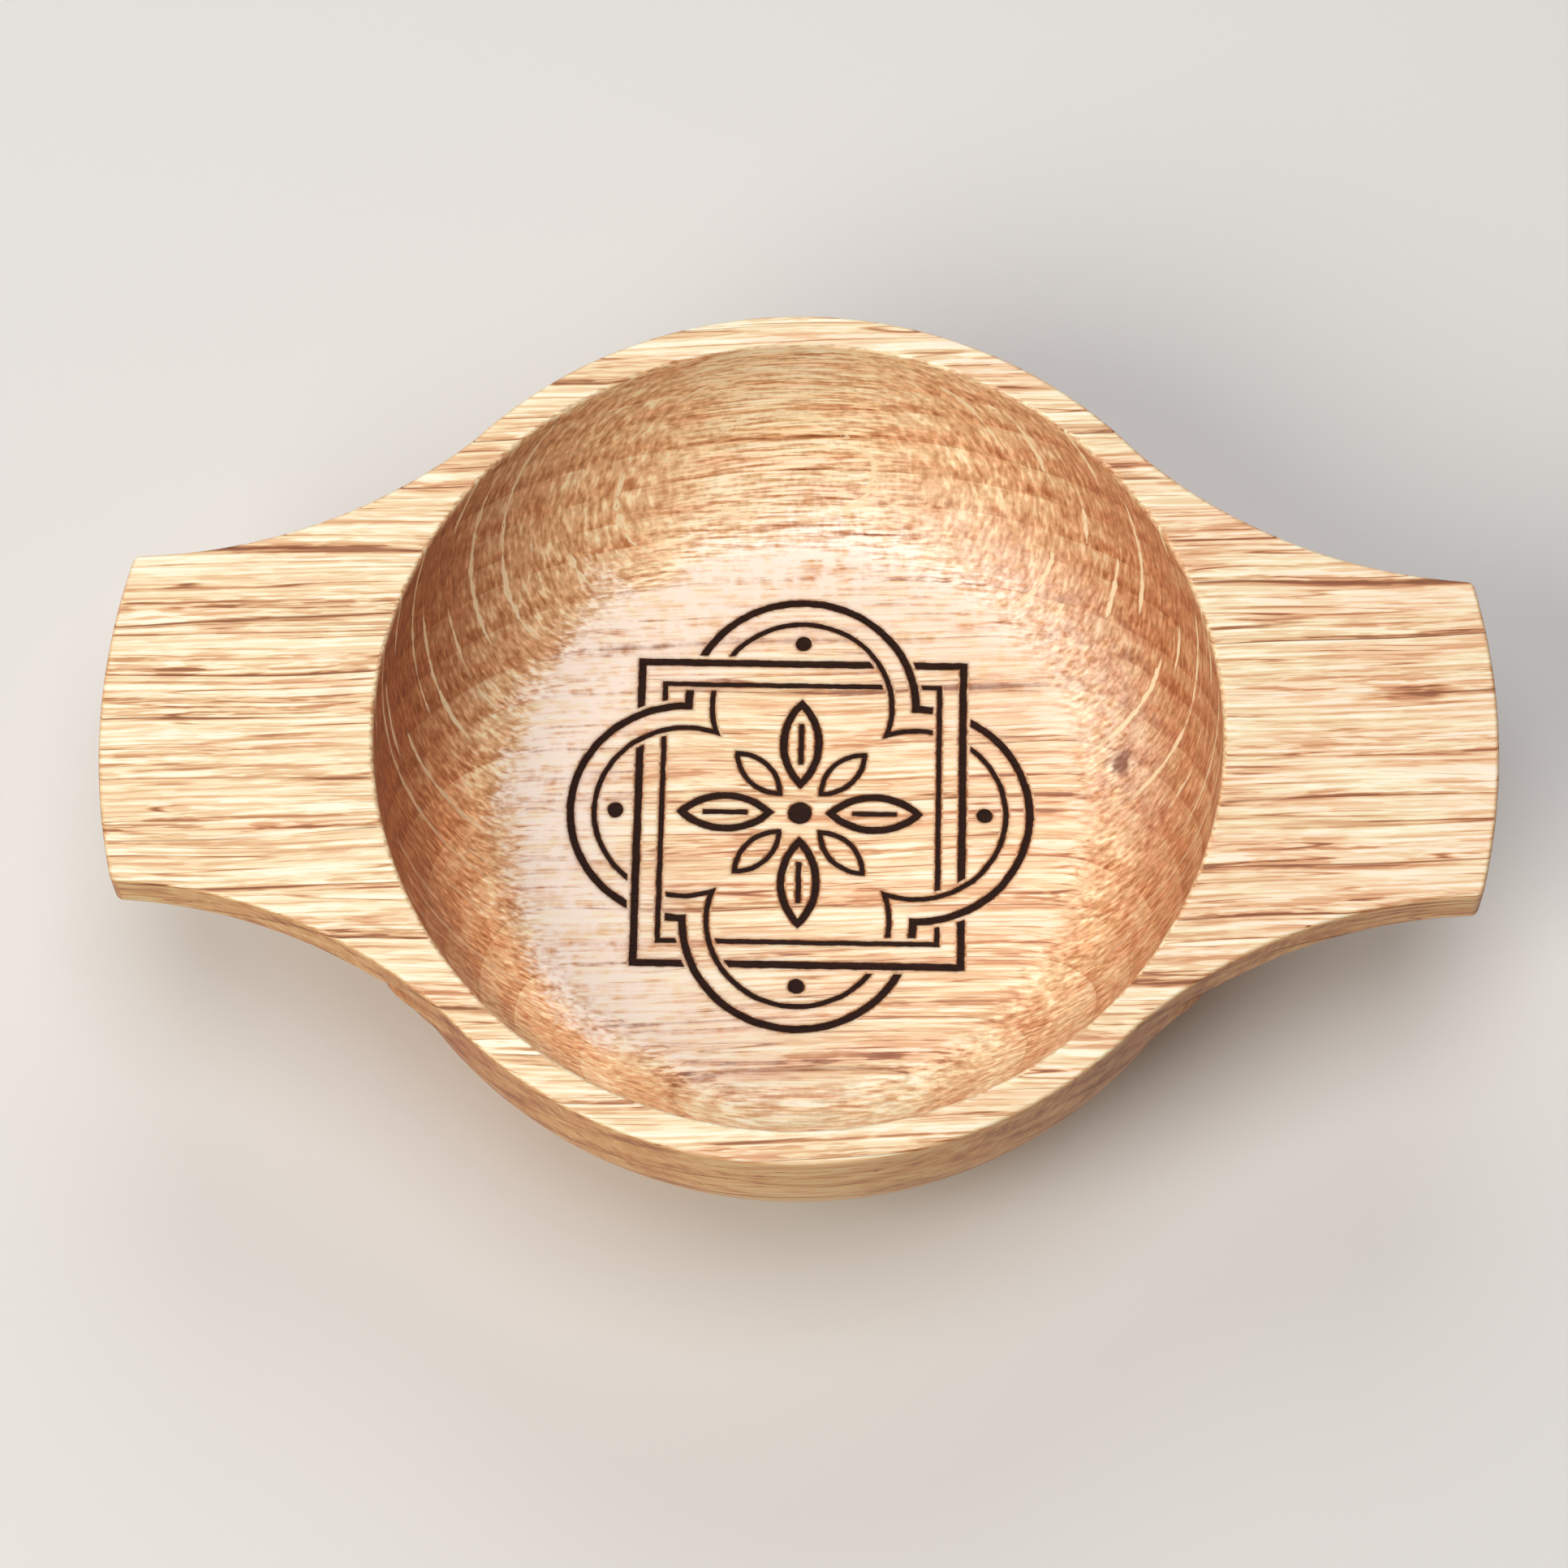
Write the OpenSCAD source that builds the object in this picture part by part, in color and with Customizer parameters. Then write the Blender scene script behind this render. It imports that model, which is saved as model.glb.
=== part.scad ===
// Oak quaich: a shallow two-lugged drinking cup turned and sawn from one disc of oak.
// Burnt line work lies in shallow grooves on the floor of the bowl.
// Millimetres. +Z is up, +X runs along the lugs, and the origin is under the bowl on the table.

/* [Bowl inside] */
// Diameter of the bowl at the lip
opening_d = 103; // [97:1:120]
// Depth from the rim down to the floor
bowl_depth = 28; // [22:0.5:31]
// Radius of the flat floor
floor_r = 33; // [30:0.5:36]
// Radius of the tight curve that lifts the floor into the wall
heel_r = 14; // [8:0.5:16]
// Height of the upright lip below the rim
lip_h = 3; // [1:0.5:6]
// Bevel that eases the inner edge of the rim
lip_ease = 0.5; // [0.2:0.1:1.2]

/* [Cup outside] */
// Height from the table to the rim
cup_h = 40; // [37:1:56]
// Thickness of the wall at the lip
lip_wall = 4.3; // [3:0.1:8]
// Bevel that eases the outer top edge of the rim and lugs
rim_ease = 0.5; // [0.2:0.1:1.5]
// Height of the foot below the belly
foot_h = 1; // [0.5:0.1:3]
// Radius of the foot
foot_r = 29.5; // [27:0.5:36]
// Radius of the hollow under the foot
recess_r = 23; // [12:0.5:25]
// Depth of the hollow under the foot
recess_d = 1.2; // [0.4:0.1:2.5]

/* [Lugs] */
// Length over both lugs
overall_l = 169.5; // [150:0.5:190]
// Thickness of the lugs
lug_t = 7.5; // [5:0.5:10]
// Width of the left lug where it is narrowest
left_lug_w = 42.8; // [34:0.2:50]
// Width of the right lug where it is narrowest
right_lug_w = 41.2; // [34:0.2:50]
// Radius of the hollow sawn into each side of a lug
hollow_r = 65; // [50:1:80]
// Radius of the cove between a lug and the belly
cove_r = 2; // [1:0.5:4]
// Angle at which a hollow meets the rim
meet_angle = 5; // [3:1:10]
// Bevel that eases the lower edges of a lug
lug_ease = 1.2; // [0.4:0.1:2]

/* [Burnt lines] */
// Depth of the groove below the floor
groove_depth = 0.6; // [0.4:0.1:1.2]
// How far the char lies below the floor
char_sink = 0.2; // [0.1:0.05:0.3]
// Width of the interlaced bands
band_w = 3.8; // [3:0.1:4.2]
// Width of the heavy outer line of a band
heavy_line = 0.95; // [0.6:0.05:1.2]
// Width of the fine inner line of a band
fine_line = 0.65; // [0.4:0.05:0.9]
// Distance from the centre to the middle of each lobe
lobe_offset = 14.5; // [13.5:0.1:14.7]
// Radius of each lobe, along the middle of its band
lobe_r = 13; // [12.8:0.1:14]
// Half the side of the square, along the middle of its band
square_half = 19; // [18:0.1:20]
// Gap left where a band passes under another
under_gap = 0.5; // [0.2:0.05:0.8]
// Distance from the centre to the near tip of each leaf and bud
leaf_start = 3.2; // [3:0.1:4.6]
// Length of each leaf
leaf_l = 12.4; // [8:0.2:13]
// Width of each leaf
leaf_w = 5.4; // [4:0.1:7]
// Length of the vein inside each leaf
vein_l = 5.6; // [3:0.2:6]
// Length of the bud between each pair of leaves
bud_l = 8.6; // [6:0.2:9]
// Width of each bud
bud_w = 3.8; // [3:0.1:4.4]
// Radius of the spot at the centre
spot_r = 1.5; // [1:0.1:2.2]
// Radius of the spot at the tip of each lobe
tip_spot_r = 1; // [0.6:0.1:1.2]

/* [Hidden] */

$fn = 128;
oak = [0.87, 0.67, 0.43];
char_brown = [0.17, 0.10, 0.07];

// Cuts run past the faces that they open by this much
past = 1;
// Wood left on the turned wall for the saw to take off
saw_stock = 0.1;
// How far a lug's top bevel runs out past the rim, and how far it turns in all
bevel_runout = 12;
bevel_sweep = 90;

opening_r = opening_d / 2;
rim_r = opening_r + lip_wall;
end_r = overall_l / 2;
floor_z = cup_h - bowl_depth;
lip_z = cup_h - lip_h;
lug_z = cup_h - lug_t;

// The wall arc leaves the upright lip and runs into the heel arc without a corner
wall_run = opening_r - floor_r;
wall_rise = bowl_depth - lip_h - heel_r;
wall_r = (wall_run * wall_run + wall_rise * wall_rise - heel_r * heel_r) / (2 * (wall_run - heel_r));
wall_x = opening_r - wall_r;
heel_z = floor_z + heel_r;
heel_angle = atan2(heel_z - lip_z, floor_r - wall_x);

// The belly arc starts upright below the cove and ends level on the foot
turned_r = rim_r + saw_stock;
belly_z = lug_z - cove_r;
belly_r = belly_z - foot_h;
belly_x = turned_r - belly_r;

groove_z = floor_z - groove_depth;
char_t = groove_depth - char_sink;
half_band = band_w / 2;
crossing_y = sqrt(lobe_r * lobe_r - (square_half - lobe_offset) * (square_half - lobe_offset));
// Tip spots lie halfway between the square and the end of each lobe
tip_spot_x = (square_half + lobe_offset + lobe_r) / 2;

// How far the centre of a hollow lies from the axis, so that it meets the rim at the angle given
hollow_reach = sqrt(rim_r * rim_r + hollow_r * hollow_r + 2 * rim_r * hollow_r * cos(meet_angle));

// Where the hollow of a lug of width w has its centre
function hollow_y(w) = w / 2 + hollow_r;
function hollow_x(w) = sqrt(hollow_reach * hollow_reach - hollow_y(w) * hollow_y(w));
function hollow_angle(w) = atan2(hollow_y(w), hollow_x(w));

// Turn about a hollow's centre from the axis to where its edge is r away from the axis
function hollow_turn(r) =
    acos((hollow_reach * hollow_reach + hollow_r * hollow_r - r * r) / (2 * hollow_reach * hollow_r));

// Half section of the space inside the bowl
module bowl_section() {
    square_up(floor_r, floor_z, cup_h + past);
    square_up(opening_r, lip_z, cup_h + past);
    translate([floor_r, heel_z]) circle(heel_r);
    intersection() {
        translate([wall_x, lip_z]) circle(wall_r);
        wall_sector();
        square_up(rim_r, floor_z, cup_h);
    }
    polygon([
        [0, cup_h - lip_ease],
        [opening_r, cup_h - lip_ease],
        [opening_r + lip_ease + past, cup_h + past],
        [0, cup_h + past]
    ]);
}

// The part of the wall arc's disc between the heel and the lip
module wall_sector() {
    reach = 2 * wall_r;
    translate([wall_x, lip_z])
        polygon([
            [0, 0],
            [reach * cos(heel_angle), reach * sin(heel_angle)],
            [reach, reach * sin(heel_angle)],
            [reach, 0]
        ]);
}

// A rectangle from the axis out to r, between two heights
module square_up(r, low, high) {
    translate([0, low]) square([r, high - low]);
}

// Half section of the outside as it comes off the lathe, with the flange still whole
module outside_section() {
    polygon([
        [0, lug_z],
        [end_r - lug_ease, lug_z],
        [end_r, lug_z + lug_ease],
        [end_r, cup_h - rim_ease],
        [end_r - rim_ease, cup_h],
        [0, cup_h]
    ]);
    square_up(turned_r, belly_z, lug_z);
    translate([turned_r, belly_z])
        difference() {
            square(cove_r);
            translate([cove_r, 0]) circle(cove_r);
        }
    intersection() {
        translate([belly_x, belly_z]) circle(belly_r);
        square_up(turned_r, 0, belly_z);
    }
    square_up(max(belly_x, foot_r), foot_h, belly_z);
    square_up(foot_r, 0, belly_z);
}

module turned_blank() {
    rotate_extrude()
        difference() {
            outside_section();
            bowl_section();
            square_up(recess_r, 0, recess_d);
        }
}

// Plan of the rim and both lugs after sawing
module sawn_plan() {
    circle(rim_r);
    lug_plan(right_lug_w);
    mirror([1, 0]) lug_plan(left_lug_w);
}

module lug_plan(w) {
    touch_y = rim_r * sin(hollow_angle(w));
    difference() {
        translate([0, -touch_y]) square([end_r + past, 2 * touch_y]);
        for (side = [-1, 1])
            translate([hollow_x(w), side * hollow_y(w)]) circle(hollow_r);
    }
}

// Bevels along the sawn edges: the top of the rim, and the top and underside of each lug
module sawn_bevels() {
    right_angle = hollow_angle(right_lug_w);
    left_angle = hollow_angle(left_lug_w);
    for (side = [0, 1])
        mirror([0, side])
            rotate_extrude(start = right_angle, angle = 180 - left_angle - right_angle)
                bevel_section(rim_r, cup_h, -1, 1, rim_ease);
    lug_bevels(right_lug_w);
    mirror([1, 0]) lug_bevels(left_lug_w);
}

module lug_bevels(w) {
    axis_angle = 180 + hollow_angle(w);
    under_turn = hollow_turn(turned_r + cove_r + lug_ease);
    for (side = [0, 1])
        mirror([0, side])
            translate([hollow_x(w), hollow_y(w)]) {
                rotate_extrude(start = axis_angle - bevel_runout, angle = bevel_sweep)
                    bevel_section(hollow_r, cup_h, 1, 1, rim_ease);
                rotate_extrude(start = axis_angle + under_turn, angle = bevel_sweep - under_turn)
                    bevel_section(hollow_r, lug_z, 1, -1, lug_ease);
            }
}

// Section of a bevel on an edge at radius r and height z. The wood lies inside (-1) or outside (1) of the
// radius, and the bevel is on an upper (1) or a lower (-1) edge.
module bevel_section(r, z, wood, up, ease) {
    polygon([
        [r + wood * (ease + past), z + up * past],
        [r - wood * past, z - up * (ease + past)],
        [r - wood * past, z + up * past]
    ]);
}

// Four-lobed outline, grown from the middle of its band by d
module quatrefoil(d) {
    for (turn = [0:90:270])
        rotate(turn) translate([lobe_offset, 0]) circle(lobe_r + d);
    rotate(45) square(lobe_offset * sqrt(2), center = true);
}

// Square outline, grown from the middle of its band by d
module square_outline(d) {
    square(2 * (square_half + d), center = true);
}

// Boxes round the crossings on one side of each lobe
module crossings(side, size) {
    for (turn = [0:90:270])
        rotate(turn) translate([square_half, side * crossing_y]) square(size, center = true);
}

module quatrefoil_lines() {
    difference() {
        union() {
            difference() {
                quatrefoil(half_band);
                quatrefoil(half_band - heavy_line);
            }
            difference() {
                quatrefoil(fine_line - half_band);
                quatrefoil(-half_band);
            }
        }
        intersection() {
            difference() {
                square_outline(half_band + under_gap);
                square_outline(-half_band - under_gap);
            }
            crossings(1, 2 * band_w);
        }
    }
}

module square_lines() {
    difference() {
        union() {
            difference() {
                square_outline(half_band);
                square_outline(half_band - heavy_line);
            }
            difference() {
                square_outline(fine_line - half_band);
                square_outline(-half_band);
            }
        }
        intersection() {
            difference() {
                quatrefoil(half_band + under_gap);
                quatrefoil(-half_band - under_gap);
            }
            crossings(-1, 2 * band_w);
        }
    }
}

// Outline of a pointed leaf of length l and width w, drawn with a line inside its edge
module leaf_outline(l, w, line) {
    arc_r = (l * l + w * w) / (4 * w);
    difference() {
        leaf(l, w, arc_r);
        leaf(l, w, arc_r - line);
    }
}

// Leaf of length l and width w lying along X, between two arcs of radius r
module leaf(l, w, r) {
    arc_y = (l * l - w * w) / (4 * w);
    intersection_for (side = [-1, 1])
        translate([leaf_start + l / 2, side * arc_y]) circle(r);
}

module leaf_lines() {
    for (turn = [0:90:270])
        rotate(turn) {
            leaf_outline(leaf_l, leaf_w, heavy_line);
            translate([leaf_start + (leaf_l - vein_l) / 2, -fine_line / 2]) square([vein_l, fine_line]);
            translate([tip_spot_x, 0]) circle(tip_spot_r);
            rotate(45) leaf_outline(bud_l, bud_w, fine_line);
        }
    circle(spot_r);
}

// A groove as deep as the burn, open to the bowl above
module groove() {
    translate([0, 0, groove_z]) linear_extrude(groove_depth + past) children();
}

// The char that lies in a groove
module char_line() {
    color(char_brown) translate([0, 0, groove_z]) linear_extrude(char_t) children();
}

module oak_cup() {
    color(oak)
        difference() {
            intersection() {
                turned_blank();
                linear_extrude(cup_h) sawn_plan();
            }
            sawn_bevels();
            groove() quatrefoil_lines();
            groove() square_lines();
            groove() leaf_lines();
        }
}

module burnt_quatrefoil() {
    char_line() quatrefoil_lines();
}

module burnt_square() {
    char_line() square_lines();
}

module burnt_leaves() {
    char_line() leaf_lines();
}

oak_cup();
burnt_quatrefoil();
burnt_square();
burnt_leaves();
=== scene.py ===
"""Looks of an oak quaich, turned and sawn from one disc, with burnt line work on its floor."""

import math

import bmesh
import bpy
import numpy as np
from mathutils import Matrix, Vector, noise
from mathutils.geometry import delaunay_2d_cdt
from mathutils.kdtree import KDTree


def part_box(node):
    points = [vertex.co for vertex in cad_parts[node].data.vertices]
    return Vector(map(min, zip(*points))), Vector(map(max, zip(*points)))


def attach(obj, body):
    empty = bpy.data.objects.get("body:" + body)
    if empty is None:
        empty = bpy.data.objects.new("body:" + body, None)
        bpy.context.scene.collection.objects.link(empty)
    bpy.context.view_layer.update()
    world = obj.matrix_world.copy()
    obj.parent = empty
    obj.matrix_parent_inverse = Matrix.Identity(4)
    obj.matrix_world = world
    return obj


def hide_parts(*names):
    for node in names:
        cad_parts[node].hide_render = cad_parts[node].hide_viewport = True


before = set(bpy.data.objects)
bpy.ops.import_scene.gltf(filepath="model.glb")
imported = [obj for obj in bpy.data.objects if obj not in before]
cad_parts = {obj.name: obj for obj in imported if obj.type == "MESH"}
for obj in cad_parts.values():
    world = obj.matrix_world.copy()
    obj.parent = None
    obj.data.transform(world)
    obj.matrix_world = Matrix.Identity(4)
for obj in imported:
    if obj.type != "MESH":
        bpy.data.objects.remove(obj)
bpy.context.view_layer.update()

bl_info = {
    "name": "Oak Quaich",
    "version": (1, 0, 0),
    "blender": (4, 5, 0),
    "location": "View3D > Sidebar > Quaich",
    "description": "Builds a turned oak quaich with burnt line work round its construction model",
    "category": "Add Mesh",
}

MM = 0.001
MERGE = 0.002 * MM
CUP_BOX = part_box("oak_cup")
BURNT_PIECES = {
    "burnt_quatrefoil": "quatrefoil_burn",
    "burnt_square": "square_burn",
    "burnt_leaves": "leaf_burn",
}

# Burnt lines: the step at which gaps are measured, and sizes, shares and seed of the waves along an edge
GAP_STEP = 0.05 * MM
EDGE_WAVES = ((1.5 * MM, 1.0), (0.45 * MM, 0.6))
WAVE_SEED = 5

# Oak: tones of the six shades, painted light that brightens the front-left heel, and the knot's place in
# millimetres
SHADE_TONES = (0.10, 0.26, 0.40, 0.54, 0.70, 0.86)
HEEL_PAINTED_LIGHT = (1.28, 1.18, 1.09, 1)
PIN_KNOT = (40.1, 6.5, 14.3)

# Stage, in metres: half the floor, and each lamp's settings for colour and power, width and place
FLOOR_HALF = 4.0
LAMPS = {
    "key": ("key", "key_power", 0.8, (-0.61, -0.58, 0.86)),
    "top": ("fill", "top_power", 0.8, (0.0, 0.0, 1.2)),
    "back": ("fill", "back_power", 0.7, (0.0, 0.93, 0.76)),
}


# Settings that a user would change

def number(name, description, default, **options):
    """A plain number."""
    return bpy.props.FloatProperty(name=name, description=description, default=default, **options)


def length(name, description, millimetres):
    """A length, written in millimetres."""
    return number(name, description, millimetres * MM, unit="LENGTH", precision=5)


def turn(name, description, degrees):
    """An angle, written in degrees."""
    return number(name, description, math.radians(degrees), subtype="ANGLE")


def wattage(name, description, watts):
    """Power of a lamp."""
    return number(name, description, watts, unit="POWER")


def paint(name, description, red, green, blue):
    """A colour as a screen shows it, from 0 to 255."""
    shown = (red / 255, green / 255, blue / 255)
    return bpy.props.FloatVectorProperty(
        name=name, description=description, default=shown, subtype="COLOR_GAMMA", min=0, max=1
    )


class QuaichSizes(bpy.types.PropertyGroup):
    """Sizes of the cup, as its construction model has them."""

    opening_r: length("Opening", "Radius of the bowl at the lip", 51.5)
    bowl_depth: length("Bowl depth", "Depth from the rim to the floor", 28)
    floor_r: length("Floor", "Radius of the flat floor", 33)
    heel_r: length("Heel", "Radius of the curve that lifts the floor into the wall", 14)
    lip_h: length("Lip", "Height of the upright lip below the rim", 3)
    lip_ease: length("Inner edge", "Rounding of the rim's inner edge", 0.55)
    rim_r: length("Rim", "Outer radius of the rim", CUP_BOX[1].y / MM)
    rim_ease: length("Outer edge", "Rounding of the upper edge of rim and lugs", 0.5)
    cup_h: length("Height", "Height of the rim above the table", CUP_BOX[1].z / MM)
    end_r: length("Lug reach", "Radius of the turned end of each lug", CUP_BOX[1].x / MM)
    lug_t: length("Lug thickness", "Thickness of the lugs", 7.5)
    left_w: length("Left lug", "Least width of the left lug", 42.8)
    right_w: length("Right lug", "Least width of the right lug", 41.2)
    hollow_r: length("Lug hollow", "Radius sawn into each side of a lug", 65)
    meet_angle: turn("Meeting angle", "Angle at which a hollow meets the rim", 5)
    corner_r: length("Lug corner", "Rounding of a lug's corners in plan", 1.1)
    lug_ease: length("Lug lower edge", "Rounding of the lower edges of a lug", 1.2)
    cove_r: length("Cove", "Radius between a lug and the belly", 2)
    saw_stock: length("Saw stock", "Wood under a lug that the saw left outside the rim", 0.1)
    foot_h: length("Foot height", "Height of the foot below the belly", 1)
    foot_r: length("Foot", "Radius of the foot", 29.5)
    foot_ease: length("Foot edge", "Rounding of the edges of the foot", 0.3)
    recess_r: length("Recess", "Radius of the hollow under the foot", 23)
    recess_d: length("Recess depth", "Depth of the hollow under the foot", 1.2)
    groove_depth: length("Groove", "Depth of the grooves that hold the burnt lines", 0.6)
    outline_step: length("Outline step", "Distance between mesh points along the outline", 0.95)


class QuaichOak(bpy.types.PropertyGroup):
    """How the oak grew, and the colours of its grain."""

    grain_turn: turn("Grain turn", "Angle in plan between the lugs and the fibres", 2.6)
    ray_tilt: turn("Ray tilt", "Slope of the sheets of ray cells, rising to the back", 52)
    ring_w: length("Growth ring", "Mean width of a growth ring", 4.5)
    ray_gap: length("Ray spacing", "Mean distance between broad rays", 3.6)
    ray_w: length("Ray width", "Half thickness of a broad ray", 0.3)
    pore_dark: paint("Pore", "Colour inside open pores", 130, 72, 36)
    brown: paint("Brown", "Colour of the darkest streaks", 156, 98, 58)
    tan: paint("Tan", "Colour of the porous early wood", 205, 148, 100)
    honey: paint("Honey", "Colour between early and late wood", 228, 182, 134)
    straw: paint("Straw", "Middle colour of the wood", 243, 210, 164)
    cream: paint("Cream", "Colour of the dense late wood", 251, 236, 196)
    pale: paint("Pale", "Lightest colour of the wood", 255, 250, 224)
    ray: paint("Ray", "Colour of the rays on the walls of the bowl", 252, 232, 192)
    rosy: paint("Rosy patches", "Tint of the pinker patches between the fibres", 255, 243, 242)
    grit: paint("Cut fibre", "Tint of the short dark fibres on the lifted wood", 206, 166, 130)
    # End grain is darker than long grain; this tint is also set deeper so that, with its mask, it paints
    # shade on the left walls
    end_grain: paint("End grain", "Tint of wood cut across its fibres", 193, 133, 87)
    # Painted shade: this tint darkens the upright outer sides as if less light reached them
    sawn: paint("Sawn side", "Tint of the oil-darkened outer sides", 233, 207, 170)
    # Painted sheen: pale colour of the sky's reflection on the floor and heel of the bowl
    painted_sheen_colour: paint("Haze", "Colour of the pale bloom on the floor of the bowl", 255, 241, 226)
    knot: paint("Knot", "Colour of the pin knot in the bowl", 124, 70, 58)
    scorch: paint("Scorch", "Colour of wood browned beside a burnt line", 122, 76, 44)
    roughness: number("Roughness", "Roughness of the oiled surface", 0.46, min=0, max=1, subtype="FACTOR")


class QuaichChar(bpy.types.PropertyGroup):
    """Shape and colours of the burnt lines."""

    sink: length("Sink", "Depth of the char's edge below the floor", 0.07)
    hollow: length("Hollow", "How far the middle of a line lies below its edge", 0.2)
    soft: length("Softness", "Distance over which a line falls away from its edge", 0.16)
    crust: length("Crust", "Height of the crumbs of char", 0.07)
    crust_size: length("Crumb", "Size of the crumbs of char", 0.3)
    uneven: length("Unevenness", "How far the edges of a line stray", 0.07)
    edge_step: length("Edge step", "Distance between mesh points along the edge of a line", 0.3)
    mesh_step: length("Mesh step", "Distance between mesh points in a line", 0.25)
    halo: length("Halo", "Reach of the browned wood beside a line", 0.22)
    black: paint("Black", "Colour of the deepest char", 22, 12, 10)
    brown: paint("Brown", "Colour of the lightest char", 70, 40, 27)


class QuaichStage(bpy.types.PropertyGroup):
    """Camera, lights and floor."""

    elevation: turn("Elevation", "Camera's height above the level", 67.66)
    azimuth: turn("Azimuth", "Camera's turn round the cup", 2.83)
    roll: turn("Roll", "Camera's turn about its own line of sight", -1.70)
    distance: length("Distance", "From the camera to the middle of the rim", 650)
    image_side: number("Image side", "Width and height of the photograph", 1932, subtype="PIXEL")
    rim_across: number("Rim across", "From the left to the middle of the rim", 983.1, subtype="PIXEL")
    rim_down: number("Rim down", "From the top to the middle of the rim", 894.6, subtype="PIXEL")
    px_per_mm: number("Scale", "Pixels for each millimetre at the middle of the rim", 10.1757)
    floor: paint("Floor", "Colour of the floor", 226, 224, 220)
    sky: paint("Sky", "Colour of the light from all round", 240, 246, 255)
    sky_level: number("Sky level", "Strength of the light from all round", 0.02)
    key: paint("Key light", "Colour of the soft light from the left", 255, 248, 238)
    key_power: wattage("Key power", "Power of the key light", 9.0)
    fill: paint("Fill light", "Colour of the soft lights from above and behind", 250, 251, 255)
    top_power: wattage("Top power", "Power of the top light", 6.8)
    back_power: wattage("Back power", "Power of the back light", 4.4)


# Shared helpers

def linear(colour):
    """A screen colour as the renderer counts light."""
    return tuple(c / 12.92 if c <= 0.04045 else ((c + 0.055) / 1.055) ** 2.4 for c in colour)


def reckon(operation, turned=False):
    """A method that adds a node for one operation between two numbers."""
    def method(self, other):
        return self.bench.math(operation, *((other, self) if turned else (self, other)))
    return method


class Value:
    """An output in a node tree. Numbers are reckoned with as plain ones are."""

    def __init__(self, bench, socket):
        self.bench, self.socket = bench, socket

    __add__ = __radd__ = reckon("ADD")
    __sub__, __rsub__ = reckon("SUBTRACT"), reckon("SUBTRACT", turned=True)
    __mul__ = reckon("MULTIPLY")
    __truediv__ = reckon("DIVIDE")

    def __abs__(self):
        return self.bench.math("ABSOLUTE", self)

    def smooth(self, start, end, low=0.0, high=1.0):
        """Low before start, high past end, and a smooth step between."""
        inputs = {"Value": self, "From Min": start, "From Max": end, "To Min": low, "To Max": high}
        return self.bench.value("ShaderNodeMapRange", inputs, interpolation_type="SMOOTHSTEP", clamp=True)


class Bench:
    """Adds nodes to a tree and wires them as they are added."""

    def __init__(self, tree):
        self.tree = tree

    def node(self, kind, inputs=None, **settings):
        made = self.tree.nodes.new(kind)
        for name, value in settings.items():
            setattr(made, name, value)
        for name, value in (inputs or {}).items():
            self.feed(self.socket(made.inputs, name), value)
        return made

    @staticmethod
    def socket(sockets, name):
        if isinstance(name, int):
            return sockets[name]
        return next(s for s in sockets if s.name == name and s.enabled)

    def feed(self, socket, value):
        if isinstance(value, Value):
            value = value.socket
        if isinstance(value, bpy.types.NodeSocket):
            self.tree.links.new(value, socket)
        else:
            socket.default_value = value

    def value(self, kind, inputs=None, output=0, **settings):
        return Value(self, self.node(kind, inputs, **settings).outputs[output])

    def math(self, operation, *values, clamp=False):
        return self.value("ShaderNodeMath", dict(enumerate(values)), operation=operation, use_clamp=clamp)

    def vector(self, operation, *values):
        made = self.node("ShaderNodeVectorMath", dict(enumerate(values)), operation=operation)
        return Value(self, next(s for s in made.outputs if s.enabled))

    def scale(self, vector, factor):
        return self.value("ShaderNodeVectorMath", {0: vector, "Scale": factor}, operation="SCALE")

    def blend(self, start, end, factor):
        """A vector part of the way from start to end."""
        return self.vector("ADD", start, self.scale(self.vector("SUBTRACT", end, start), factor))

    def dot(self, vector, other):
        return self.vector("DOT_PRODUCT", vector, other)

    def combine(self, x, y, z):
        return self.value("ShaderNodeCombineXYZ", {"X": x, "Y": y, "Z": z})

    def separate(self, vector):
        return [Value(self, s) for s in self.node("ShaderNodeSeparateXYZ", {0: vector}).outputs]

    def noise(self, vector, detail=2.0, roughness=0.5, output=0):
        """Noise about 0.5, or with output 1 a vector of noises."""
        inputs = {"Vector": vector, "Scale": 1.0, "Detail": detail, "Roughness": roughness}
        return self.value("ShaderNodeTexNoise", inputs, output, noise_dimensions="3D")

    def painted(self, name):
        """A value that the mesh carries for each vertex."""
        return self.value("ShaderNodeAttribute", output="Fac", attribute_name=name)

    def ramp(self, value, stops):
        """Colours by value, from pairs of place and screen colour."""
        made = self.node("ShaderNodeValToRGB", {"Fac": value})
        points = made.color_ramp.elements
        while len(points) < len(stops):
            points.new(1.0)
        for point, (place, colour) in zip(points, stops):
            point.position = place
            point.color = (*linear(colour), 1)
        return made.outputs[0]

    def mix(self, factor, start, end, blend_type="MIX"):
        made = self.node("ShaderNodeMix", {0: factor}, data_type="RGBA", blend_type=blend_type)
        self.feed(made.inputs[6], start)
        self.feed(made.inputs[7], end)
        return made.outputs[2]

    def surface(self, shader, colour, roughness, height, bump, depth):
        """Wires colour, roughness and fine relief to a shader."""
        relief = self.value("ShaderNodeBump", {"Strength": bump, "Distance": depth, "Height": height})
        for name, value in (("Base Color", colour), ("Roughness", roughness), ("Normal", relief)):
            self.feed(shader.inputs[name], value)


def tree_of(name, inputs):
    """An empty geometry tree with named inputs and a material, its bench, and what it is given."""
    tree = bpy.data.node_groups.new(name, "GeometryNodeTree")
    tree.is_modifier = True
    for label, kind in {**inputs, "Material": "Material"}.items():
        tree.interface.new_socket(name=label, in_out="INPUT", socket_type="NodeSocket" + kind)
    tree.interface.new_socket(name="Geometry", in_out="OUTPUT", socket_type="NodeSocketGeometry")
    bench = Bench(tree)
    return tree, bench, bench.node("NodeGroupInput").outputs


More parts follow.
